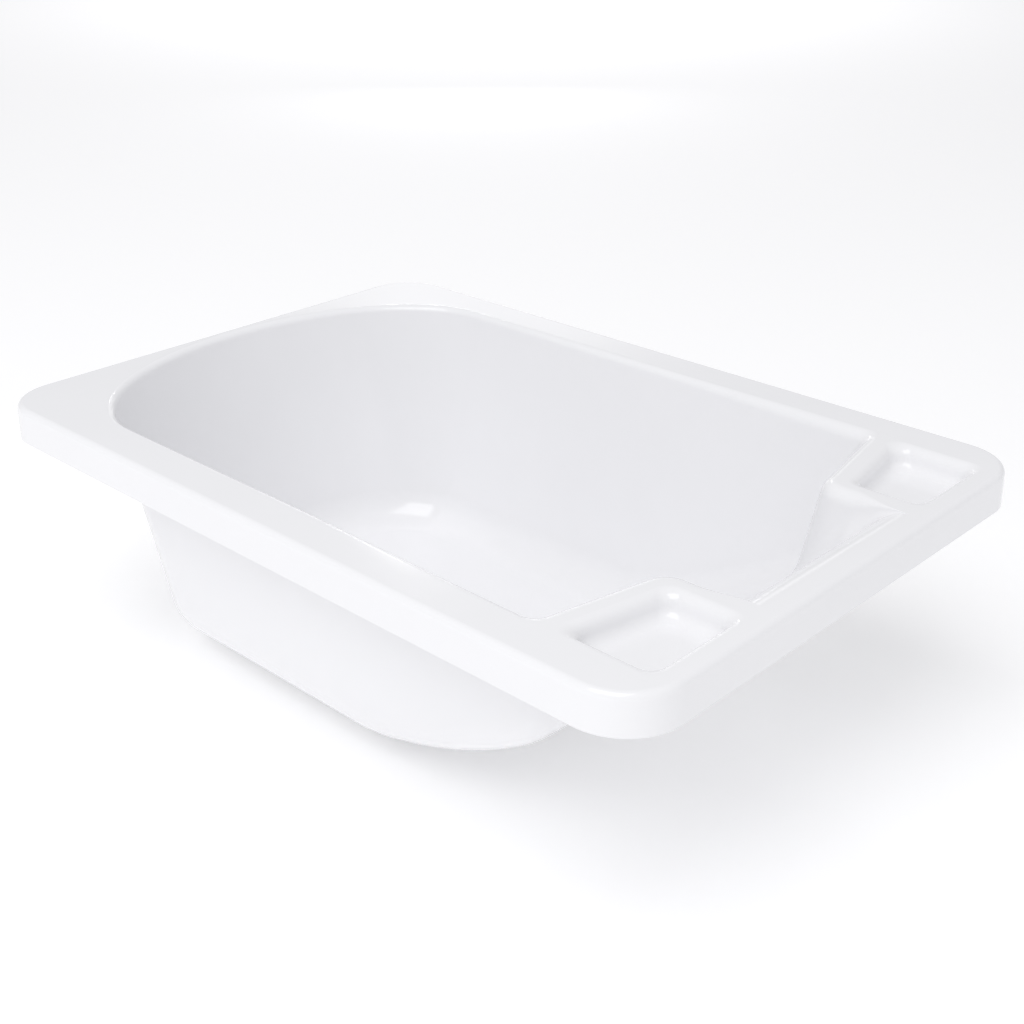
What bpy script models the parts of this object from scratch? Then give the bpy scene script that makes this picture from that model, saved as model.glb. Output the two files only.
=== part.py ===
"""Baby bathtub: one moulded plastic shell with a sloping backrest and two soap dishes, and a plugged drain.

Metres, +Z up. The origin is on the ground under the middle of the tub. +X is the backrest end.
"""
import math

import bmesh
import bpy

# Rim
LENGTH = 0.800
WIDTH = 0.550
RIM_HEIGHT = 0.273
RIM_CORNER_RADIUS = 0.052
RIM_EDGE_RADIUS = 0.006
SKIRT_HEIGHT = 0.0343
SKIRT_FLARE = 0.0011
WALL_THICKNESS = 0.003

# Basin opening at rim level
SIDE_Y = 0.228
STEEP_CENTRE_X = -0.240
STEEP_DEPTH_X = 0.1455
RIDGE_OUTER_X = 0.268
RIDGE_INNER_X = 0.293
TONGUE_Y = 0.1045
SIDE_CORNER_RADIUS = 0.016
RIDGE_CORNER_RADIUS = 0.025
DRAFT = math.radians(10.4)
TOP_FILLET = 0.008
FOOT_FILLET = 0.044

# Lengthwise profile of the floor and the backrest, measured down from the rim
FLOOR_DEPTH = 0.250
FLAT_END_X = -0.006
LOWER_RADIUS = 0.190
LOWER_ANGLE = math.radians(16)
UPPER_RADIUS = 0.545
UPPER_ANGLE = math.radians(56)
LIP_RADIUS = 0.036

# Soap dishes
DISH_OUTER_Y = 0.227
DISH_INNER_Y = 0.130
DISH_END_X = 0.376
DISH_RIDGE_OUTER_X = 0.297
DISH_RIDGE_INNER_X = 0.315
DISH_CORNER_RADIUS = 0.014
DISH_DEPTH = 0.020
DISH_FOOT_FILLET = 0.008

# Hollow feet moulded under the floor
FOOT_RADIUS = 0.018
FOOT_PLACES = ((-0.220, 0.100), (-0.220, -0.100), (0.050, 0.100), (0.050, -0.100))

# Drain
DRAIN_X = -0.150
DRAIN_HOLE_RADIUS = 0.022
GAP = 0.0003
GASKET_THICKNESS = 0.0015
FLANGE_RADIUS = 0.035
FLANGE_THICKNESS = 0.003
PIPE_OUTER_RADIUS = 0.0216
PIPE_INNER_RADIUS = 0.018
PIPE_BOTTOM_Z = 0.005
STRAINER_BAR = 0.003
NUT_OUTER_RADIUS = 0.030
NUT_HEIGHT = 0.010
NUT_GRIPS = 12
PLUG_CAP_RADIUS = 0.024
PLUG_CAP_THICKNESS = 0.003
PLUG_BODY_RADIUS = 0.0172
PLUG_BODY_LENGTH = 0.014
SEAL_RADIUS = 0.0016
LUG_X = -0.010
LUG_THICKNESS = 0.004
LUG_HOLE_RADIUS = 0.0018
LUG_HOLE_HEIGHT = 0.003
RING_RADIUS = 0.012
RING_WIRE_RADIUS = 0.00125
TURNS = 48

FLOOR_TOP_Z = RIM_HEIGHT - FLOOR_DEPTH
FLOOR_UNDERSIDE_Z = FLOOR_TOP_Z - WALL_THICKNESS
FLANGE_BOTTOM_Z = FLOOR_TOP_Z + GASKET_THICKNESS + 2 * GAP
FLANGE_TOP_Z = FLANGE_BOTTOM_Z + FLANGE_THICKNESS
CAP_BOTTOM_Z = FLANGE_TOP_Z + GAP
CAP_TOP_Z = CAP_BOTTOM_Z + PLUG_CAP_THICKNESS
SEAL_CENTRE_RADIUS = PIPE_INNER_RADIUS - GAP - SEAL_RADIUS
SEAL_Z = CAP_BOTTOM_Z - 0.008


# ---------------------------------------------------------------- scene helpers

def clear_scene():
    for old in list(bpy.data.objects):
        bpy.data.objects.remove(old, do_unlink=True)


def plastic(name, colour, roughness):
    material = bpy.data.materials.new(name)
    material.use_nodes = True
    shader = material.node_tree.nodes["Principled BSDF"]
    shader.inputs["Base Color"].default_value = (*colour, 1.0)
    shader.inputs["Roughness"].default_value = roughness
    shader.inputs["Metallic"].default_value = 0.0
    return material


def add_object(name, bm, material=None, location=(0.0, 0.0, 0.0)):
    mesh = bpy.data.meshes.new(name)
    bm.to_mesh(mesh)
    bm.free()
    mesh.shade_smooth()
    mesh.set_sharp_from_angle(angle=math.radians(35))
    item = bpy.data.objects.new(name, mesh)
    bpy.context.scene.collection.objects.link(item)
    item.location = location
    if material:
        mesh.materials.append(material)
    return item


def hide_guide(item):
    item.hide_render = True
    item.display_type = "WIRE"


def add_boolean(item, other, operation):
    modifier = item.modifiers.new(operation.lower(), "BOOLEAN")
    modifier.operation = operation
    modifier.solver = "EXACT"
    modifier.object = other
    hide_guide(other)


def turned(profile):
    """A closed body of revolution about Z from (radius, z) points that run round its section."""
    bm = bmesh.new()
    rings = []
    for step in range(TURNS):
        angle = 2 * math.pi * step / TURNS
        rings.append([bm.verts.new((r * math.cos(angle), r * math.sin(angle), z)) for r, z in profile])
    count = len(profile)
    for step in range(TURNS):
        here = rings[step]
        there = rings[(step + 1) % TURNS]
        for k in range(count):
            after = (k + 1) % count
            bm.faces.new((here[k], there[k], there[after], here[after]))
    bmesh.ops.remove_doubles(bm, verts=bm.verts, dist=1e-6)
    bmesh.ops.recalc_face_normals(bm, faces=bm.faces)
    return bm


def torus(radius, wire, around, about):
    bm = bmesh.new()
    loops = []
    for step in range(around):
        turn = 2 * math.pi * step / around
        loop = []
        for k in range(about):
            tilt = 2 * math.pi * k / about
            reach = radius + wire * math.cos(tilt)
            loop.append(bm.verts.new((reach * math.cos(turn), reach * math.sin(turn), wire * math.sin(tilt))))
        loops.append(loop)
    for step in range(around):
        here = loops[step]
        there = loops[(step + 1) % around]
        for k in range(about):
            after = (k + 1) % about
            bm.faces.new((here[k], there[k], there[after], here[after]))
    bmesh.ops.recalc_face_normals(bm, faces=bm.faces)
    return bm


# ---------------------------------------------------------------- outlines and profiles

def conic(start, corner, end, steps):
    """Points of a round blend that leaves start towards corner and arrives at end."""
    first = math.atan2(start[1] - corner[1], start[0] - corner[0])
    second = math.atan2(end[1] - corner[1], end[0] - corner[0])
    opening = abs((first - second + math.pi) % (2 * math.pi) - math.pi)
    weight = math.sin(opening / 2)
    points = []
    for step in range(steps + 1):
        t = step / steps
        a = (1 - t) ** 2
        b = 2 * weight * t * (1 - t)
        c = t ** 2
        total = a + b + c
        points.append(tuple((a * start[i] + b * corner[i] + c * end[i]) / total for i in range(2)))
    return points


def round_corner(before, corner, after, radius, steps):
    """The arc that rounds a corner between two straight runs."""
    to_before = math.atan2(before[1] - corner[1], before[0] - corner[0])
    to_after = math.atan2(after[1] - corner[1], after[0] - corner[0])
    opening = abs((to_before - to_after + math.pi) % (2 * math.pi) - math.pi)
    reach = radius / math.tan(opening / 2)
    start = (corner[0] + reach * math.cos(to_before), corner[1] + reach * math.sin(to_before))
    end = (corner[0] + reach * math.cos(to_after), corner[1] + reach * math.sin(to_after))
    return conic(start, corner, end, steps)


def straight(start, end, steps):
    """Points between two ends, without the ends."""
    return [tuple(start[i] + (end[i] - start[i]) * k / steps for i in range(2)) for k in range(1, steps)]


def floor_level(x):
    """Height of the inside of the floor and backrest below the rim, at a place along the tub."""
    lower_end_x = FLAT_END_X + LOWER_RADIUS * math.sin(LOWER_ANGLE)
    lower_end_z = -FLOOR_DEPTH + LOWER_RADIUS * (1 - math.cos(LOWER_ANGLE))
    upper_end_x = lower_end_x + UPPER_RADIUS * (math.sin(UPPER_ANGLE) - math.sin(LOWER_ANGLE))
    upper_end_z = lower_end_z + UPPER_RADIUS * (math.cos(LOWER_ANGLE) - math.cos(UPPER_ANGLE))
    lip_start_x = LIP_X - LIP_RADIUS * math.sin(UPPER_ANGLE)
    if x <= FLAT_END_X:
        return -FLOOR_DEPTH
    if x <= lower_end_x:
        angle = math.asin((x - FLAT_END_X) / LOWER_RADIUS)
        return -FLOOR_DEPTH + LOWER_RADIUS * (1 - math.cos(angle))
    if x <= upper_end_x:
        angle = math.asin((x - lower_end_x) / UPPER_RADIUS + math.sin(LOWER_ANGLE))
        return lower_end_z + UPPER_RADIUS * (math.cos(LOWER_ANGLE) - math.cos(angle))
    if x <= lip_start_x:
        return upper_end_z + (x - upper_end_x) * math.tan(UPPER_ANGLE)
    short = min(max(LIP_X - x, 0.0), LIP_RADIUS)
    return -LIP_RADIUS + math.sqrt(LIP_RADIUS ** 2 - short ** 2)


def lip_place():
    """Where the backrest, rolled over at its top, becomes level with the rim."""
    upper_end_x = (FLAT_END_X + LOWER_RADIUS * math.sin(LOWER_ANGLE)
                   + UPPER_RADIUS * (math.sin(UPPER_ANGLE) - math.sin(LOWER_ANGLE)))
    upper_end_z = (-FLOOR_DEPTH + LOWER_RADIUS * (1 - math.cos(LOWER_ANGLE))
                   + UPPER_RADIUS * (math.cos(LOWER_ANGLE) - math.cos(UPPER_ANGLE)))
    lip_start_z = -LIP_RADIUS * (1 - math.cos(UPPER_ANGLE))
    lip_start_x = upper_end_x + (lip_start_z - upper_end_z) / math.tan(UPPER_ANGLE)
    return lip_start_x + LIP_RADIUS * math.sin(UPPER_ANGLE)


LIP_X = lip_place()


def basin_half(inset):
    """Half of the basin's outline, moved inwards by inset: steep end, side, ridge and tongue."""
    half_x = STEEP_DEPTH_X - inset
    half_y = SIDE_Y - inset
    points = []
    for step in range(15):
        angle = math.pi / 2 * step / 14
        points.append((STEEP_CENTRE_X - half_x * math.cos(angle), half_y * math.sin(angle)))
    run_x = RIDGE_INNER_X - RIDGE_OUTER_X
    run_y = SIDE_Y - TONGUE_Y
    slant = math.hypot(run_x, run_y)
    ridge_shift = inset * slant / run_y
    tongue_y = TONGUE_Y - inset
    side_corner = (RIDGE_OUTER_X - ridge_shift + (SIDE_Y - half_y) * run_x / run_y, half_y)
    tongue_corner = (RIDGE_INNER_X - ridge_shift + (TONGUE_Y - tongue_y) * run_x / run_y, tongue_y)
    lip = (LIP_X, tongue_y)
    near_side = round_corner((STEEP_CENTRE_X, half_y), side_corner, tongue_corner, SIDE_CORNER_RADIUS, 3)
    near_tongue = round_corner(side_corner, tongue_corner, lip, RIDGE_CORNER_RADIUS + inset, 4)
    points += straight(points[-1], near_side[0], 12)
    points += near_side
    points += straight(near_side[-1], near_tongue[0], 2)
    points += near_tongue
    points += straight(near_tongue[-1], lip, 5)
    points.append(lip)
    return points


def dish_outline(inset):
    """The outline of the soap dish on the +Y side, moved inwards by inset."""
    low_y = DISH_INNER_Y + inset
    high_y = DISH_OUTER_Y - inset
    lean = (DISH_RIDGE_INNER_X - DISH_RIDGE_OUTER_X) / (DISH_OUTER_Y - DISH_INNER_Y)
    shift = inset * math.hypot(1, lean)
    low_x = DISH_RIDGE_INNER_X + shift - lean * inset
    high_x = DISH_RIDGE_OUTER_X + shift + lean * inset
    end_x = DISH_END_X - inset
    corners = [(end_x, low_y), (end_x, high_y), (high_x, high_y), (low_x, low_y)]
    points = []
    for k in range(4):
        points += round_corner(corners[k - 1], corners[k], corners[(k + 1) % 4], DISH_CORNER_RADIUS, 4)
    return points


def rim_outline(inset):
    """The rounded rectangle of the rim, moved inwards by inset."""
    half_x = LENGTH / 2 - inset
    half_y = WIDTH / 2 - inset
    radius = RIM_CORNER_RADIUS - inset
    corners = [(half_x, -half_y), (half_x, half_y), (-half_x, half_y), (-half_x, -half_y)]
    points = []
    for k in range(4):
        points += round_corner(corners[k - 1], corners[k], corners[(k + 1) % 4], radius, 8)
    return points


def wall_profile(place, floor, foot_fillet):
    """(inset, z) points from the rim over the top fillet, down the drafted wall and on to the floor.

    place(inset) is the point's x for an inset, and floor(x) the floor's height there.
    """
    slope = 1 / math.tan(DRAFT)
    low = 0.0
    high = FLOOR_DEPTH / slope
    for _ in range(50):
        middle = (low + high) / 2
        if -middle * slope > floor(place(middle)):
            low = middle
        else:
            high = middle
    wall_length = low / math.sin(DRAFT)
    half_turn = (math.pi / 2 - DRAFT) / 2
    top_reach = TOP_FILLET * math.tan(half_turn)
    foot_reach = foot_fillet * math.tan(half_turn)
    fit = min(1.0, 0.98 * wall_length / (top_reach + foot_reach))
    top_reach *= fit
    foot_reach *= fit
    end = low + foot_reach
    end_z = floor(place(end))
    small = 1e-5
    end_slope = (floor(place(end + small)) - floor(place(end - small))) / (2 * small)
    corner = (end_slope * end - end_z) / (slope + end_slope)
    corner_z = -corner * slope
    foot_start = max(corner - foot_reach * math.sin(DRAFT), top_reach * math.sin(DRAFT))
    top = conic((-top_reach, 0), (0, 0), (top_reach * math.sin(DRAFT), -top_reach * math.cos(DRAFT)), 3)
    foot = conic((foot_start, -foot_start * slope), (corner, corner_z), (end, end_z), 5)
    return top + foot


# ---------------------------------------------------------------- tub shell

def strip(bm, first, second, closed):
    count = len(first) if closed else len(first) - 1
    for k in range(count):
        after = (k + 1) % len(first)
        bm.faces.new((first[k], first[after], second[after], second[k]))


def add_basin(bm):
    """The basin's walls and floor. Returns its edge on the rim."""
    half_count = len(basin_half(0.0))
    stations = [(k, -1) for k in range(half_count - 1, 0, -1)] + [(k, 1) for k in range(half_count)]
    columns = {}
    for k in range(half_count):
        profile = wall_profile(lambda inset: basin_half(inset)[k][0], floor_level, FOOT_FILLET)
        columns[k] = [(*basin_half(inset)[k], z) for inset, z in profile]
    rings = []
    for level in range(len(columns[0])):
        ring = []
        for k, side in stations:
            x, y, z = columns[k][level]
            ring.append(bm.verts.new((x, side * y, z)))
        rings.append(ring)
    for upper, lower in zip(rings, rings[1:]):
        strip(bm, upper, lower, False)
    foot = rings[-1]
    apex = half_count - 1
    for k in range(apex):
        left = foot[apex - k]
        right = foot[apex + k]
        next_left = foot[apex - k - 1]
        next_right = foot[apex + k + 1]
        if k == 0:
            bm.faces.new((left, next_left, next_right))
        else:
            bm.faces.new((left, next_left, next_right, right))
    return rings[0]


def add_dish(bm, side):
    """One soap dish. Returns its edge on the rim."""
    profile = wall_profile(lambda inset: 0.0, lambda x: -DISH_DEPTH, DISH_FOOT_FILLET)
    rings = []
    for inset, z in profile:
        rings.append([bm.verts.new((x, side * y, z)) for x, y in dish_outline(inset)])
    for upper, lower in zip(rings, rings[1:]):
        strip(bm, upper, lower, True)
    bm.faces.new(rings[-1])
    return rings[0]


def add_skirt(bm):
    """The rim's rounded outer edge and the skirt below it. Returns its edge on the rim."""
    rings = [[bm.verts.new((x, y, -SKIRT_HEIGHT)) for x, y in rim_outline(-SKIRT_FLARE)]]
    for step in range(4):
        angle = math.pi / 2 * step / 3
        inset = RIM_EDGE_RADIUS * (1 - math.cos(angle))
        z = RIM_EDGE_RADIUS * (math.sin(angle) - 1)
        rings.append([bm.verts.new((x, y, z)) for x, y in rim_outline(inset)])
    for lower, upper in zip(rings, rings[1:]):
        strip(bm, lower, upper, True)
    return rings[-1]


def loop_edges(bm, loop):
    edges = []
    for k, vert in enumerate(loop):
        after = loop[(k + 1) % len(loop)]
        edge = bm.edges.get((vert, after))
        edges.append(edge if edge else bm.edges.new((vert, after)))
    return edges


def build_feet():
    """Four tubes that end inside the floor's thickness, whose curve their tops follow."""
    bm = bmesh.new()
    inner = FOOT_RADIUS - WALL_THICKNESS
    for x, y in FOOT_PLACES:
        tube = turned([(FOOT_RADIUS, 1.0), (FOOT_RADIUS, 0.0), (inner, 0.0), (inner, 1.0)])
        for vert in tube.verts:
            vert.co.x += x
            vert.co.y += y
            if vert.co.z > 0.5:
                vert.co.z = RIM_HEIGHT + floor_level(vert.co.x) - WALL_THICKNESS / 2
        mesh = bpy.data.meshes.new("foot")
        tube.to_mesh(mesh)
        tube.free()
        bm.from_mesh(mesh)
        bpy.data.meshes.remove(mesh)
    return add_object("feet_guide", bm)


def build_drain_cutter():
    bm = bmesh.new()
    bmesh.ops.create_cone(bm, cap_ends=True, segments=TURNS, radius1=DRAIN_HOLE_RADIUS,
                          radius2=DRAIN_HOLE_RADIUS, depth=0.02)
    return add_object("drain_cutter", bm, location=(DRAIN_X, 0.0, FLOOR_TOP_Z))


def build_tub_shell():
    bm = bmesh.new()
    edges = loop_edges(bm, add_basin(bm))
    edges += loop_edges(bm, add_dish(bm, 1))
    edges += loop_edges(bm, add_dish(bm, -1))
    edges += loop_edges(bm, add_skirt(bm))
    bmesh.ops.triangle_fill(bm, edges=edges, use_beauty=True, use_dissolve=False, normal=(0, 0, 1))
    bmesh.ops.remove_doubles(bm, verts=bm.verts, dist=2e-5)
    bmesh.ops.recalc_face_normals(bm, faces=bm.faces)
    upward = sum(face.normal.z * face.calc_area() for face in bm.faces)
    if upward < 0:
        bmesh.ops.reverse_faces(bm, faces=bm.faces)
    shell = add_object("tub_shell", bm, plastic("tub_white", (0.86, 0.865, 0.885), 0.22),
                       (0.0, 0.0, RIM_HEIGHT))
    solid = shell.modifiers.new("wall", "SOLIDIFY")
    solid.thickness = WALL_THICKNESS
    solid.offset = -1.0
    solid.use_even_offset = True
    add_boolean(shell, build_feet(), "UNION")
    add_boolean(shell, build_drain_cutter(), "DIFFERENCE")
    return shell


# ---------------------------------------------------------------- drain

def build_flange():
    """The drain's flange and pipe, with a cross of strainer bars at the bottom."""
    edge = 0.001
    profile = [(PIPE_INNER_RADIUS, FLANGE_TOP_Z), (PIPE_INNER_RADIUS, PIPE_BOTTOM_Z),
               (PIPE_OUTER_RADIUS, PIPE_BOTTOM_Z), (PIPE_OUTER_RADIUS, FLANGE_BOTTOM_Z),
               (FLANGE_RADIUS, FLANGE_BOTTOM_Z), (FLANGE_RADIUS, FLANGE_TOP_Z - 2 * edge),
               (FLANGE_RADIUS - 2 * edge, FLANGE_TOP_Z)]
    flange = add_object("drain_flange", turned(profile), plastic("drain_white", (0.84, 0.845, 0.86), 0.25),
                        (DRAIN_X, 0.0, 0.0))
    reach = (PIPE_INNER_RADIUS + PIPE_OUTER_RADIUS) / 2
    for number, turn in enumerate((0.0, math.pi / 2)):
        bm = bmesh.new()
        bmesh.ops.create_cube(bm, size=1.0)
        bmesh.ops.scale(bm, verts=bm.verts, vec=(2 * reach, STRAINER_BAR, STRAINER_BAR))
        bar = add_object("strainer_guide_%d" % number, bm,
                         location=(DRAIN_X, 0.0, PIPE_BOTTOM_Z + STRAINER_BAR * (0.6 + 0.1 * number)))
        bar.rotation_euler.z = turn
        add_boolean(flange, bar, "UNION")
    return flange


def build_ring(name, inner, outer, bottom, height, material):
    profile = [(outer, bottom), (outer, bottom + height), (inner, bottom + height), (inner, bottom)]
    return add_object(name, turned(profile), material, (DRAIN_X, 0.0, 0.0))


def build_nut(top):
    """The round nut that clamps the drain from below, with grips round its rim."""
    inner = PIPE_OUTER_RADIUS + GAP
    bottom = top - NUT_HEIGHT
    nut = build_ring("drain_nut", inner, NUT_OUTER_RADIUS, bottom, NUT_HEIGHT,
                     plastic("nut_white", (0.78, 0.79, 0.80), 0.35))
    bm = bmesh.new()
    for step in range(NUT_GRIPS):
        angle = 2 * math.pi * step / NUT_GRIPS
        start = len(bm.verts)
        bmesh.ops.create_cube(bm, size=1.0)
        bm.verts.ensure_lookup_table()
        block = bm.verts[start:]
        bmesh.ops.scale(bm, verts=block, vec=(0.004, 0.004, NUT_HEIGHT - 0.001))
        bmesh.ops.translate(bm, verts=block, vec=(NUT_OUTER_RADIUS, 0.0, bottom + NUT_HEIGHT / 2))
        for vert in block:
            x, y, z = vert.co
            vert.co = (x * math.cos(angle) - y * math.sin(angle), x * math.sin(angle) + y * math.cos(angle), z)
    add_boolean(nut, add_object("grip_guide", bm, location=(DRAIN_X, 0.0, 0.0)), "UNION")
    return nut


def build_plug(lift):
    """The stopper: a cap over a hollow body with a seal groove, and a lug for the pull ring."""
    groove = SEAL_RADIUS + 0.0003
    groove_radius = SEAL_CENTRE_RADIUS - SEAL_RADIUS - GAP
    hollow = 0.010
    body_bottom = CAP_BOTTOM_Z - PLUG_BODY_LENGTH
    edge = 0.001
    profile = [(0.0, CAP_TOP_Z), (PLUG_CAP_RADIUS - edge, CAP_TOP_Z), (PLUG_CAP_RADIUS, CAP_TOP_Z - edge),
               (PLUG_CAP_RADIUS, CAP_BOTTOM_Z), (PLUG_BODY_RADIUS, CAP_BOTTOM_Z),
               (PLUG_BODY_RADIUS, SEAL_Z + groove), (groove_radius, SEAL_Z + groove),
               (groove_radius, SEAL_Z - groove), (PLUG_BODY_RADIUS, SEAL_Z - groove),
               (PLUG_BODY_RADIUS - edge, body_bottom), (hollow, body_bottom),
               (hollow, CAP_BOTTOM_Z - edge), (0.0, CAP_BOTTOM_Z - edge)]
    local = [(r, z - CAP_BOTTOM_Z) for r, z in profile]
    plug = add_object("drain_plug", turned(local), plastic("plug_white", (0.84, 0.845, 0.86), 0.3))
    plug.parent = lift
    add_boolean(plug, build_lug(lift), "UNION")
    add_boolean(plug, build_lug_hole(lift), "DIFFERENCE")
    return plug


def build_lug(lift):
    """An upright tab with a round top, standing on the cap."""
    radius = 0.0035
    centre_z = PLUG_CAP_THICKNESS + LUG_HOLE_HEIGHT
    outline = [(-radius, PLUG_CAP_THICKNESS - 0.001)]
    for step in range(13):
        angle = math.pi - math.pi * step / 12
        outline.append((radius * math.cos(angle), centre_z + radius * math.sin(angle)))
    outline.append((radius, PLUG_CAP_THICKNESS - 0.001))
    bm = bmesh.new()
    front = [bm.verts.new((x, -LUG_THICKNESS / 2, z)) for x, z in outline]
    back = [bm.verts.new((x, LUG_THICKNESS / 2, z)) for x, z in outline]
    bm.faces.new(front)
    bm.faces.new(list(reversed(back)))
    strip(bm, front, back, True)
    bmesh.ops.recalc_face_normals(bm, faces=bm.faces)
    lug = add_object("lug_guide", bm, location=(LUG_X, 0.0, 0.0))
    lug.parent = lift
    return lug


def build_lug_hole(lift):
    bm = bmesh.new()
    bmesh.ops.create_cone(bm, cap_ends=True, segments=24, radius1=LUG_HOLE_RADIUS,
                          radius2=LUG_HOLE_RADIUS, depth=0.02)
    hole = add_object("lug_hole_cutter", bm, location=(LUG_X, 0.0, PLUG_CAP_THICKNESS + LUG_HOLE_HEIGHT))
    hole.rotation_euler.x = math.pi / 2
    hole.parent = lift
    return hole


def build_plug_seal(lift):
    seal = add_object("plug_seal", torus(SEAL_CENTRE_RADIUS, SEAL_RADIUS, TURNS, 10),
                      plastic("seal_grey", (0.30, 0.31, 0.33), 0.6), (0.0, 0.0, SEAL_Z - CAP_BOTTOM_Z))
    seal.parent = lift
    return seal


def build_pull_ring(lift):
    """The ring through the lug, leaning down until its far side rests on the cap."""
    bm = torus(RING_RADIUS, RING_WIRE_RADIUS, 32, 10)
    bmesh.ops.translate(bm, verts=bm.verts, vec=(RING_RADIUS, 0.0, 0.0))
    ring = add_object("plug_pull_ring", bm, plastic("ring_white", (0.84, 0.845, 0.86), 0.3),
                      (LUG_X, 0.0, PLUG_CAP_THICKNESS + LUG_HOLE_HEIGHT))
    ring.rotation_euler.y = math.asin((LUG_HOLE_HEIGHT - RING_WIRE_RADIUS - GAP) / (2 * RING_RADIUS))
    ring.parent = lift
    return ring


def build_drain():
    rubber = plastic("gasket_grey", (0.30, 0.31, 0.33), 0.6)
    bore = DRAIN_HOLE_RADIUS + GAP
    build_flange()
    build_ring("flange_gasket", bore, FLANGE_RADIUS - 0.002, FLOOR_TOP_Z + GAP, GASKET_THICKNESS, rubber)
    washer_bottom = FLOOR_UNDERSIDE_Z - GAP - GASKET_THICKNESS
    build_ring("nut_washer", bore, NUT_OUTER_RADIUS, washer_bottom, GASKET_THICKNESS, rubber)
    build_nut(washer_bottom - GAP)
    lift = bpy.data.objects.new("plug_lift", None)
    bpy.context.scene.collection.objects.link(lift)
    lift.location = (DRAIN_X, 0.0, CAP_BOTTOM_Z)
    build_plug(lift)
    build_plug_seal(lift)
    build_pull_ring(lift)


clear_scene()
build_tub_shell()
build_drain()
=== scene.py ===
"""Looks of the moulded baby bathtub: a smooth shell, its drain, a pale floor and soft studio light."""
import math

import bmesh
import bpy
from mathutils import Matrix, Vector


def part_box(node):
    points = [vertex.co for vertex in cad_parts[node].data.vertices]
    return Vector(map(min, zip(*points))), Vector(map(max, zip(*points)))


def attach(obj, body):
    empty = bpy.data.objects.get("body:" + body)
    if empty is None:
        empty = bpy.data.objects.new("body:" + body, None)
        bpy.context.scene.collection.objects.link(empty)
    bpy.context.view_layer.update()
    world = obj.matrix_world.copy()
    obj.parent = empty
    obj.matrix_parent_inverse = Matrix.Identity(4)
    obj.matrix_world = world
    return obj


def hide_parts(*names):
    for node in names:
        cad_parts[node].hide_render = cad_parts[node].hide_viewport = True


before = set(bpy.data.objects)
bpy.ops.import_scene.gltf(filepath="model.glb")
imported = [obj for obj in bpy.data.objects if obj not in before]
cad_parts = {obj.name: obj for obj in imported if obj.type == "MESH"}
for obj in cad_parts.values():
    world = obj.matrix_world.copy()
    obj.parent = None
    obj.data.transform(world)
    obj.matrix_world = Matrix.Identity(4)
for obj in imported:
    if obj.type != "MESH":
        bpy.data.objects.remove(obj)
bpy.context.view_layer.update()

# Rim, in metres
LENGTH = 0.800
WIDTH = 0.550
RIM_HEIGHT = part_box("tub_shell")[1][2]
RIM_CORNER_RADIUS = 0.052
RIM_EDGE_RADIUS = 0.006
SKIRT_HEIGHT = 0.0343
SKIRT_FLARE = 0.0011
WALL_THICKNESS = 0.003

# Basin opening at rim level
SIDE_Y = 0.228
STEEP_CENTRE_X = -0.240
STEEP_DEPTH_X = 0.1455
RIDGE_OUTER_X = 0.268
RIDGE_INNER_X = 0.293
TONGUE_Y = 0.1045
SIDE_CORNER_RADIUS = 0.016
RIDGE_CORNER_RADIUS = 0.025
DRAFT = math.radians(10.4)
TOP_FILLET = 0.008
RIDGE_TOP_FILLET = 0.013
FOOT_FILLET = 0.044

# Lengthwise profile of the floor and the backrest, measured down from the rim
FLOOR_DEPTH = 0.250
FLAT_END_X = -0.006
LOWER_RADIUS = 0.190
LOWER_ANGLE = math.radians(16)
UPPER_RADIUS = 0.545
UPPER_ANGLE = math.radians(56)
LIP_RADIUS = 0.036

# Soap dishes
DISH_OUTER_Y = 0.227
DISH_INNER_Y = 0.130
DISH_END_X = 0.376
DISH_RIDGE_OUTER_X = 0.297
DISH_RIDGE_INNER_X = 0.315
DISH_CORNER_RADIUS = 0.014
DISH_DEPTH = 0.020
DISH_TOP_FILLET = 0.010
DISH_FOOT_FILLET = 0.010

# Hollow feet moulded under the floor
FOOT_RADIUS = 0.018
FOOT_PLACES = ((-0.220, 0.100), (-0.220, -0.100), (0.050, 0.100), (0.050, -0.100))
DRAIN_HOLE_RADIUS = 0.022
DRAIN_CUTTER_DEPTH = 0.020
TURNS = 128
FOOT_TURNS = 64

# How many steps each stretch of the shell takes
ELLIPSE_STEPS = 56
SIDE_STEPS = 60
CORNER_STEPS = 10
RIDGE_STEPS = 12
TONGUE_STEPS = 26
TOP_STEPS = 8
WALL_STEPS = 5
FOOT_STEPS = 14
RIM_CORNER_STEPS = 24
RIM_EDGE_STEPS = 8

# The mesh: points closer than this are one, and an edge bent more than this stays sharp
MERGE_DISTANCE = 1e-5
SHARP_ANGLE = math.radians(32)

# The camera's place from the middle of the rim's top, its direction and its lens
CAMERA_FROM_RIM = Vector((0.88788, -0.90975, 0.53433))
CAMERA_FORWARD = Vector((-0.61524, 0.65417, -0.43994))
LENS_MM = 51.96
SENSOR_MM = 36.0

# Studio: a wide floor just under the feet, an even sky, and lights as
# (name, place, point aimed at, width and height, watts)
STUDIO_HALF_SIZE = 20.0
STUDIO_DROP = 0.0004
STUDIO_GLOW = 0.19
SKY_STRENGTH = 0.59
LIGHTS = (
    ("overhead", (0.7, -2.5, 4.4), (0.0, 0.0, 0.1), (3.6, 3.6), 112.0),
    ("backdrop", (-3.9, 4.1, 1.6), (-3.9, 4.1, 0.0), (3.0, 3.0), 22.0),
    ("low back strip", (-2.3, 2.35, 0.4), (0.0, 0.0, 0.27), (0.7, 0.18), 0.8),
    ("back lamp", (-5.5, 4.97, 3.62), (0.0, 0.0, 0.1), (0.32, 0.46), 7.0),
)


# ---------------------------------------------------------------- outlines and profiles

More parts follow.
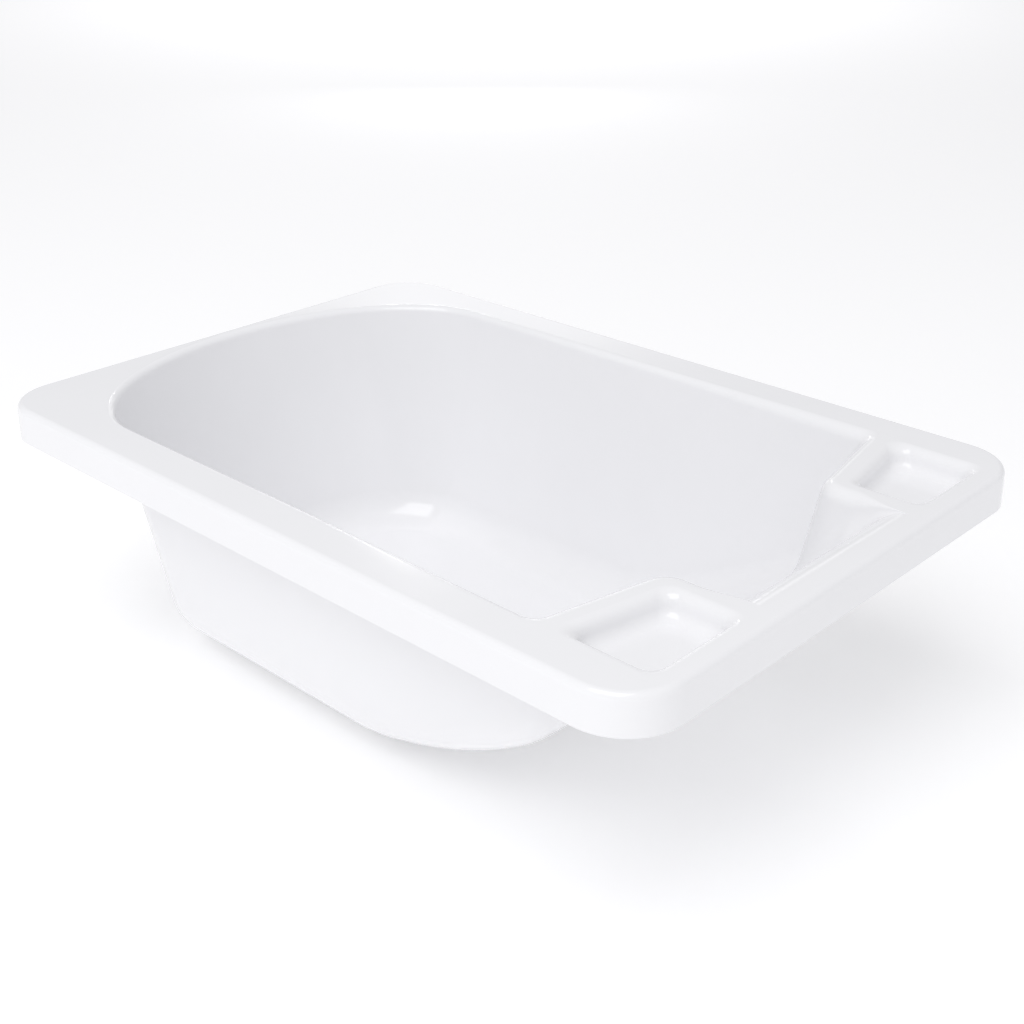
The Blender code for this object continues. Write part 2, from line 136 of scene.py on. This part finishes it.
def conic(start, corner, end, steps):
    """Points of a round blend that leaves start towards corner and arrives at end."""
    first = math.atan2(start[1] - corner[1], start[0] - corner[0])
    second = math.atan2(end[1] - corner[1], end[0] - corner[0])
    opening = abs((first - second + math.pi) % (2 * math.pi) - math.pi)
    weight = math.sin(opening / 2)
    points = []
    for step in range(steps + 1):
        t = step / steps
        a = (1 - t) ** 2
        b = 2 * weight * t * (1 - t)
        c = t ** 2
        total = a + b + c
        points.append(tuple((a * start[i] + b * corner[i] + c * end[i]) / total for i in range(2)))
    return points


def round_corner(before, corner, after, radius, steps):
    """The arc that rounds a corner between two straight runs."""
    to_before = math.atan2(before[1] - corner[1], before[0] - corner[0])
    to_after = math.atan2(after[1] - corner[1], after[0] - corner[0])
    opening = abs((to_before - to_after + math.pi) % (2 * math.pi) - math.pi)
    reach = radius / math.tan(opening / 2)
    start = (corner[0] + reach * math.cos(to_before), corner[1] + reach * math.sin(to_before))
    end = (corner[0] + reach * math.cos(to_after), corner[1] + reach * math.sin(to_after))
    return conic(start, corner, end, steps)


def straight(start, end, steps):
    """Points between two ends, without the ends."""
    return [tuple(start[i] + (end[i] - start[i]) * k / steps for i in range(2)) for k in range(1, steps)]


LOWER_END_X = FLAT_END_X + LOWER_RADIUS * math.sin(LOWER_ANGLE)
LOWER_END_Z = -FLOOR_DEPTH + LOWER_RADIUS * (1 - math.cos(LOWER_ANGLE))
UPPER_END_X = LOWER_END_X + UPPER_RADIUS * (math.sin(UPPER_ANGLE) - math.sin(LOWER_ANGLE))
UPPER_END_Z = LOWER_END_Z + UPPER_RADIUS * (math.cos(LOWER_ANGLE) - math.cos(UPPER_ANGLE))
LIP_START_Z = -LIP_RADIUS * (1 - math.cos(UPPER_ANGLE))
LIP_START_X = UPPER_END_X + (LIP_START_Z - UPPER_END_Z) / math.tan(UPPER_ANGLE)
LIP_X = LIP_START_X + LIP_RADIUS * math.sin(UPPER_ANGLE)


def floor_level(x):
    """Height of the inside of the floor and backrest below the rim, at a place along the tub."""
    if x <= FLAT_END_X:
        return -FLOOR_DEPTH
    if x <= LOWER_END_X:
        angle = math.asin((x - FLAT_END_X) / LOWER_RADIUS)
        return -FLOOR_DEPTH + LOWER_RADIUS * (1 - math.cos(angle))
    if x <= UPPER_END_X:
        angle = math.asin((x - LOWER_END_X) / UPPER_RADIUS + math.sin(LOWER_ANGLE))
        return LOWER_END_Z + UPPER_RADIUS * (math.cos(LOWER_ANGLE) - math.cos(angle))
    if x <= LIP_START_X:
        return UPPER_END_Z + (x - UPPER_END_X) * math.tan(UPPER_ANGLE)
    short = min(max(LIP_X - x, 0.0), LIP_RADIUS)
    return -LIP_RADIUS + math.sqrt(LIP_RADIUS ** 2 - short ** 2)


def basin_half(inset):
    """Half of the basin's outline, moved inwards by inset: steep end, side, ridge and tongue."""
    half_x = STEEP_DEPTH_X - inset
    half_y = SIDE_Y - inset
    points = []
    for step in range(ELLIPSE_STEPS + 1):
        angle = math.pi / 2 * step / ELLIPSE_STEPS
        points.append((STEEP_CENTRE_X - half_x * math.cos(angle), half_y * math.sin(angle)))
    run_x = RIDGE_INNER_X - RIDGE_OUTER_X
    run_y = SIDE_Y - TONGUE_Y
    ridge_shift = inset * math.hypot(run_x, run_y) / run_y
    side_corner = (RIDGE_OUTER_X - ridge_shift + inset * run_x / run_y, half_y)
    tongue_corner = (RIDGE_INNER_X - ridge_shift + inset * run_x / run_y, TONGUE_Y - inset)
    lip = (LIP_X, TONGUE_Y - inset)
    side_start = (STEEP_CENTRE_X, half_y)
    by_side = round_corner(side_start, side_corner, tongue_corner, SIDE_CORNER_RADIUS, CORNER_STEPS)
    by_tongue = round_corner(side_corner, tongue_corner, lip, RIDGE_CORNER_RADIUS + inset, CORNER_STEPS)
    points += straight(points[-1], by_side[0], SIDE_STEPS)
    points += by_side
    points += straight(by_side[-1], by_tongue[0], RIDGE_STEPS)
    points += by_tongue
    points += straight(by_tongue[-1], lip, TONGUE_STEPS)
    points.append(lip)
    return points


def dish_outline(inset):
    """The outline of the soap dish on the +Y side, moved inwards by inset."""
    low_y = DISH_INNER_Y + inset
    high_y = DISH_OUTER_Y - inset
    lean = (DISH_RIDGE_INNER_X - DISH_RIDGE_OUTER_X) / (DISH_OUTER_Y - DISH_INNER_Y)
    shift = inset * math.hypot(1, lean)
    low_x = DISH_RIDGE_INNER_X + shift - lean * inset
    high_x = DISH_RIDGE_OUTER_X + shift + lean * inset
    end_x = DISH_END_X - inset
    corners = [(end_x, low_y), (end_x, high_y), (high_x, high_y), (low_x, low_y)]
    points = []
    for k in range(4):
        after = corners[(k + 1) % 4]
        points += round_corner(corners[k - 1], corners[k], after, DISH_CORNER_RADIUS, CORNER_STEPS)
    return points


def rim_outline(inset):
    """The rounded rectangle of the rim, moved inwards by inset."""
    half_x = LENGTH / 2 - inset
    half_y = WIDTH / 2 - inset
    corners = [(half_x, -half_y), (half_x, half_y), (-half_x, half_y), (-half_x, -half_y)]
    points = []
    for k in range(4):
        points += round_corner(corners[k - 1], corners[k], corners[(k + 1) % 4], RIM_CORNER_RADIUS - inset,
                               RIM_CORNER_STEPS)
    return points


def top_fillet(x):
    """Radius of the fillet at the rim, which widens from the middle of the tub to the ridge."""
    share = min(max(x / RIDGE_OUTER_X, 0.0), 1.0)
    return TOP_FILLET + (RIDGE_TOP_FILLET - TOP_FILLET) * share ** 2 * (3 - 2 * share)


def wall_profile(place, floor, foot_fillet, rim_fillet):
    """(inset, z) points from the rim over the top fillet, down the drafted wall and on to the floor.

    place(inset) is the point's x for an inset, floor(x) the floor's height there, and the two fillets
    are the radii at the foot of the wall and at the rim.
    """
    slope = 1 / math.tan(DRAFT)
    low = 0.0
    high = FLOOR_DEPTH / slope
    for _ in range(30):
        middle = (low + high) / 2
        if -middle * slope > floor(place(middle)):
            low = middle
        else:
            high = middle
    wall_length = low / math.sin(DRAFT)
    half_turn = (math.pi / 2 - DRAFT) / 2
    top_reach = rim_fillet * math.tan(half_turn)
    foot_reach = foot_fillet * math.tan(half_turn)
    fit = min(1.0, 0.98 * wall_length / (top_reach + foot_reach))
    top_reach *= fit
    foot_reach *= fit
    end = low + foot_reach
    end_z = floor(place(end))
    small = 1e-5
    end_slope = (floor(place(end + small)) - floor(place(end - small))) / (2 * small)
    corner = (end_slope * end - end_z) / (slope + end_slope)
    foot_start = max(corner - foot_reach * math.sin(DRAFT), top_reach * math.sin(DRAFT))
    top_end = (top_reach * math.sin(DRAFT), -top_reach * math.cos(DRAFT))
    top = conic((-top_reach, 0), (0, 0), top_end, TOP_STEPS)
    foot = conic((foot_start, -foot_start * slope), (corner, -corner * slope), (end, end_z), FOOT_STEPS)
    return top + straight(top[-1], foot[0], WALL_STEPS) + foot


# ---------------------------------------------------------------- mesh helpers

def add_object(name, bm, location=(0.0, 0.0, 0.0)):
    mesh = bpy.data.meshes.new(name)
    bm.to_mesh(mesh)
    bm.free()
    mesh.shade_smooth()
    item = bpy.data.objects.new(name, mesh)
    bpy.context.scene.collection.objects.link(item)
    item.location = location
    return item


def apply_modifiers(item):
    """Bakes an object's modifiers into its mesh, and removes any object they used."""
    used = [m.object for m in item.modifiers if m.type == "BOOLEAN"]
    bpy.context.view_layer.update()
    graph = bpy.context.evaluated_depsgraph_get()
    mesh = bpy.data.meshes.new_from_object(item.evaluated_get(graph))
    item.modifiers.clear()
    item.data = mesh
    for other in used:
        bpy.data.objects.remove(other, do_unlink=True)


def add_boolean(item, other, operation):
    modifier = item.modifiers.new(operation.lower(), "BOOLEAN")
    modifier.operation = operation
    modifier.solver = "EXACT"
    modifier.object = other


def strip(bm, first, second, closed):
    count = len(first) if closed else len(first) - 1
    for k in range(count):
        after = (k + 1) % len(first)
        bm.faces.new((first[k], first[after], second[after], second[k]))


def turned(bm, profile, centre=(0.0, 0.0), turns=TURNS):
    """Adds a closed body of revolution about Z from (radius, z) points that run round its section."""
    rings = []
    made = []
    for step in range(turns):
        angle = 2 * math.pi * step / turns
        ring = []
        for r, z in profile:
            ring.append(bm.verts.new((centre[0] + r * math.cos(angle), centre[1] + r * math.sin(angle), z)))
        rings.append(ring)
        made += ring
    for step in range(turns):
        strip(bm, rings[step], rings[(step + 1) % turns], True)
    bmesh.ops.remove_doubles(bm, verts=made, dist=1e-6)
    bmesh.ops.recalc_face_normals(bm, faces=bm.faces)


# ---------------------------------------------------------------- tub shell

def add_basin(bm):
    """The basin's walls and floor. Returns its edge on the rim."""
    half_count = len(basin_half(0.0))
    stations = [(k, -1) for k in range(half_count - 1, 0, -1)] + [(k, 1) for k in range(half_count)]
    columns = {}
    for k in range(half_count):
        rim_fillet = top_fillet(basin_half(0.0)[k][0])
        profile = wall_profile(lambda inset: basin_half(inset)[k][0], floor_level, FOOT_FILLET, rim_fillet)
        columns[k] = [(*basin_half(inset)[k], z) for inset, z in profile]
    rings = []
    for level in range(len(columns[0])):
        ring = []
        for k, side in stations:
            x, y, z = columns[k][level]
            ring.append(bm.verts.new((x, side * y, z)))
        rings.append(ring)
    for upper, lower in zip(rings, rings[1:]):
        strip(bm, upper, lower, False)
    foot = rings[-1]
    apex = half_count - 1
    bm.faces.new((foot[apex], foot[apex - 1], foot[apex + 1]))
    for k in range(1, apex):
        bm.faces.new((foot[apex - k], foot[apex - k - 1], foot[apex + k + 1], foot[apex + k]))
    return rings[0]


def add_dish(bm, side):
    """One soap dish. Returns its edge on the rim."""
    profile = wall_profile(lambda inset: 0.0, lambda x: -DISH_DEPTH, DISH_FOOT_FILLET, DISH_TOP_FILLET)
    rings = []
    for inset, z in profile:
        rings.append([bm.verts.new((x, side * y, z)) for x, y in dish_outline(inset)])
    for upper, lower in zip(rings, rings[1:]):
        strip(bm, upper, lower, True)
    bm.faces.new(rings[-1])
    return rings[0]


def add_skirt(bm):
    """The rim's rounded outer edge and the skirt below it. Returns its edge on the rim."""
    rings = [[bm.verts.new((x, y, -SKIRT_HEIGHT)) for x, y in rim_outline(-SKIRT_FLARE)]]
    for step in range(RIM_EDGE_STEPS + 1):
        angle = math.pi / 2 * step / RIM_EDGE_STEPS
        inset = RIM_EDGE_RADIUS * (1 - math.cos(angle))
        z = RIM_EDGE_RADIUS * (math.sin(angle) - 1)
        rings.append([bm.verts.new((x, y, z)) for x, y in rim_outline(inset)])
    for lower, upper in zip(rings, rings[1:]):
        strip(bm, lower, upper, True)
    return rings[-1]


def loop_edges(bm, loop):
    edges = []
    for k, vert in enumerate(loop):
        after = loop[(k + 1) % len(loop)]
        edge = bm.edges.get((vert, after))
        edges.append(edge if edge else bm.edges.new((vert, after)))
    return edges


def build_feet():
    """Four tubes that end inside the floor's thickness, whose curve their tops follow."""
    bm = bmesh.new()
    inner = FOOT_RADIUS - WALL_THICKNESS
    section = [(FOOT_RADIUS, RIM_HEIGHT), (FOOT_RADIUS, 0.0), (inner, 0.0), (inner, RIM_HEIGHT)]
    for place in FOOT_PLACES:
        turned(bm, section, place, FOOT_TURNS)
    for vert in bm.verts:
        if vert.co.z > 0.0:
            vert.co.z = RIM_HEIGHT + floor_level(vert.co.x) - WALL_THICKNESS / 2
    return add_object("feet", bm)


def build_drain_cutter():
    low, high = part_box("drain_flange")
    bm = bmesh.new()
    bmesh.ops.create_cone(bm, cap_ends=True, segments=TURNS, radius1=DRAIN_HOLE_RADIUS,
                          radius2=DRAIN_HOLE_RADIUS, depth=DRAIN_CUTTER_DEPTH)
    return add_object("drain_cutter", bm, ((low[0] + high[0]) / 2, 0.0, RIM_HEIGHT - FLOOR_DEPTH))


def build_shell():
    bm = bmesh.new()
    edges = loop_edges(bm, add_basin(bm))
    edges += loop_edges(bm, add_dish(bm, 1))
    edges += loop_edges(bm, add_dish(bm, -1))
    edges += loop_edges(bm, add_skirt(bm))
    bmesh.ops.triangle_fill(bm, edges=edges, use_beauty=True, use_dissolve=False, normal=(0, 0, 1))
    bmesh.ops.remove_doubles(bm, verts=bm.verts, dist=MERGE_DISTANCE)
    bmesh.ops.recalc_face_normals(bm, faces=bm.faces)
    if sum(face.normal.z * face.calc_area() for face in bm.faces) < 0:
        bmesh.ops.reverse_faces(bm, faces=bm.faces)
    shell = add_object("moulded_shell", bm, (0.0, 0.0, RIM_HEIGHT))
    solid = shell.modifiers.new("wall", "SOLIDIFY")
    solid.thickness = WALL_THICKNESS
    solid.offset = -1.0
    solid.use_even_offset = True
    add_boolean(shell, build_feet(), "UNION")
    add_boolean(shell, build_drain_cutter(), "DIFFERENCE")
    apply_modifiers(shell)
    shell.data.shade_smooth()
    shell.data.set_sharp_from_angle(angle=SHARP_ANGLE)
    weighted = shell.modifiers.new("flat faces lead the shading", "WEIGHTED_NORMAL")
    weighted.keep_sharp = True
    weighted.weight = 100
    return shell


# ---------------------------------------------------------------- materials

def white_plastic(name, colour, roughness, bump):
    """Injection-moulded plastic: faint cloudiness in its colour, uneven gloss and a fine ripple."""
    material = bpy.data.materials.new(name)
    material.use_nodes = True
    tree = material.node_tree
    nodes = tree.nodes
    links = tree.links
    shader = nodes["Principled BSDF"]
    place = nodes.new("ShaderNodeTexCoord")

    cloud = nodes.new("ShaderNodeTexNoise")
    cloud.inputs["Scale"].default_value = 6.0
    cloud.inputs["Detail"].default_value = 3.0
    tint = nodes.new("ShaderNodeValToRGB")
    tint.color_ramp.elements[0].position = 0.3
    tint.color_ramp.elements[0].color = (*(c * 0.985 for c in colour), 1.0)
    tint.color_ramp.elements[1].position = 0.7
    tint.color_ramp.elements[1].color = (*colour, 1.0)
    links.new(place.outputs["Object"], cloud.inputs["Vector"])
    links.new(cloud.outputs["Fac"], tint.inputs["Fac"])
    links.new(tint.outputs["Color"], shader.inputs["Base Color"])

    wear = nodes.new("ShaderNodeTexNoise")
    wear.inputs["Scale"].default_value = 28.0
    wear.inputs["Detail"].default_value = 5.0
    gloss = nodes.new("ShaderNodeMapRange")
    gloss.inputs["To Min"].default_value = roughness - 0.03
    gloss.inputs["To Max"].default_value = roughness + 0.05
    links.new(place.outputs["Object"], wear.inputs["Vector"])
    links.new(wear.outputs["Fac"], gloss.inputs["Value"])
    links.new(gloss.outputs["Result"], shader.inputs["Roughness"])

    ripple = nodes.new("ShaderNodeTexNoise")
    ripple.inputs["Scale"].default_value = 18.0
    ripple.inputs["Detail"].default_value = 1.0
    relief = nodes.new("ShaderNodeBump")
    relief.inputs["Strength"].default_value = bump
    relief.inputs["Distance"].default_value = 0.002
    links.new(place.outputs["Object"], ripple.inputs["Vector"])
    links.new(ripple.outputs["Fac"], relief.inputs["Height"])
    links.new(relief.outputs["Normal"], shader.inputs["Normal"])
    shader.inputs["IOR"].default_value = 1.49
    return material


def grey_rubber(name):
    """Matte rubber with a fine grain and a dusty bloom."""
    material = bpy.data.materials.new(name)
    material.use_nodes = True
    tree = material.node_tree
    shader = tree.nodes["Principled BSDF"]
    place = tree.nodes.new("ShaderNodeTexCoord")
    grain = tree.nodes.new("ShaderNodeTexNoise")
    grain.inputs["Scale"].default_value = 900.0
    bloom = tree.nodes.new("ShaderNodeTexNoise")
    bloom.inputs["Scale"].default_value = 60.0
    tint = tree.nodes.new("ShaderNodeValToRGB")
    tint.color_ramp.elements[0].color = (0.27, 0.28, 0.30, 1.0)
    tint.color_ramp.elements[1].color = (0.34, 0.35, 0.37, 1.0)
    relief = tree.nodes.new("ShaderNodeBump")
    relief.inputs["Strength"].default_value = 0.3
    relief.inputs["Distance"].default_value = 0.0002
    shader.inputs["Roughness"].default_value = 0.62
    tree.links.new(place.outputs["Object"], grain.inputs["Vector"])
    tree.links.new(place.outputs["Object"], bloom.inputs["Vector"])
    tree.links.new(bloom.outputs["Fac"], tint.inputs["Fac"])
    tree.links.new(tint.outputs["Color"], shader.inputs["Base Color"])
    tree.links.new(grain.outputs["Fac"], relief.inputs["Height"])
    tree.links.new(relief.outputs["Normal"], shader.inputs["Normal"])
    return material


def paint(item, material):
    item.data.materials.clear()
    item.data.materials.append(material)


# ---------------------------------------------------------------- stage

def floor_material():
    """Pale matte floor with a faint glow, so that it stays nearly white away from the lights."""
    material = bpy.data.materials.new("studio_floor")
    material.use_nodes = True
    shader = material.node_tree.nodes["Principled BSDF"]
    shader.inputs["Base Color"].default_value = (0.93, 0.93, 0.935, 1.0)
    shader.inputs["Roughness"].default_value = 0.9
    shader.inputs["Emission Color"].default_value = (1.0, 1.0, 1.0, 1.0)
    shader.inputs["Emission Strength"].default_value = STUDIO_GLOW
    return material


def build_floor():
    bm = bmesh.new()
    bmesh.ops.create_grid(bm, x_segments=1, y_segments=1, size=STUDIO_HALF_SIZE)
    studio = add_object("studio_floor", bm, (0.0, 0.0, -STUDIO_DROP))
    paint(studio, floor_material())


def add_light(name, place, aim, size, power):
    data = bpy.data.lights.new(name, "AREA")
    data.shape = "RECTANGLE"
    data.size = size[0]
    data.size_y = size[1]
    data.energy = power
    lamp = bpy.data.objects.new(name, data)
    bpy.context.scene.collection.objects.link(lamp)
    lamp.location = place
    lamp.rotation_euler = (Vector(aim) - Vector(place)).to_track_quat("-Z", "Y").to_euler()


def build_camera():
    data = bpy.data.cameras.new("camera")
    data.lens = LENS_MM
    data.sensor_width = SENSOR_MM
    camera = bpy.data.objects.new("camera", data)
    bpy.context.scene.collection.objects.link(camera)
    camera.location = CAMERA_FROM_RIM + Vector((0.0, 0.0, RIM_HEIGHT))
    camera.rotation_euler = CAMERA_FORWARD.to_track_quat("-Z", "Y").to_euler()
    bpy.context.scene.camera = camera


def build_world():
    world = bpy.data.worlds.new("studio")
    world.use_nodes = True
    background = world.node_tree.nodes["Background"]
    background.inputs["Color"].default_value = (0.98, 0.98, 1.0, 1.0)
    background.inputs["Strength"].default_value = SKY_STRENGTH
    bpy.context.scene.world = world


build_camera()
build_world()
build_floor()
for light in LIGHTS:
    add_light(*light)
bpy.context.scene.view_settings.view_transform = "Standard"

tub_white = white_plastic("moulded_white", (0.93, 0.93, 0.945), 0.13, 0.02)
drain_white = white_plastic("drain_white", (0.84, 0.845, 0.86), 0.24, 0.02)
nut_white = white_plastic("nut_white", (0.78, 0.79, 0.80), 0.36, 0.05)
rubber = grey_rubber("grey_rubber")

shell = build_shell()
paint(shell, tub_white)
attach(shell, "tub")
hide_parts("tub_shell")

for material, nodes in (
    (drain_white, ("drain_flange", "drain_plug", "plug_pull_ring")),
    (nut_white, ("drain_nut",)),
    (rubber, ("flange_gasket", "nut_washer", "plug_seal")),
):
    for node in nodes:
        paint(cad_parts[node], material)
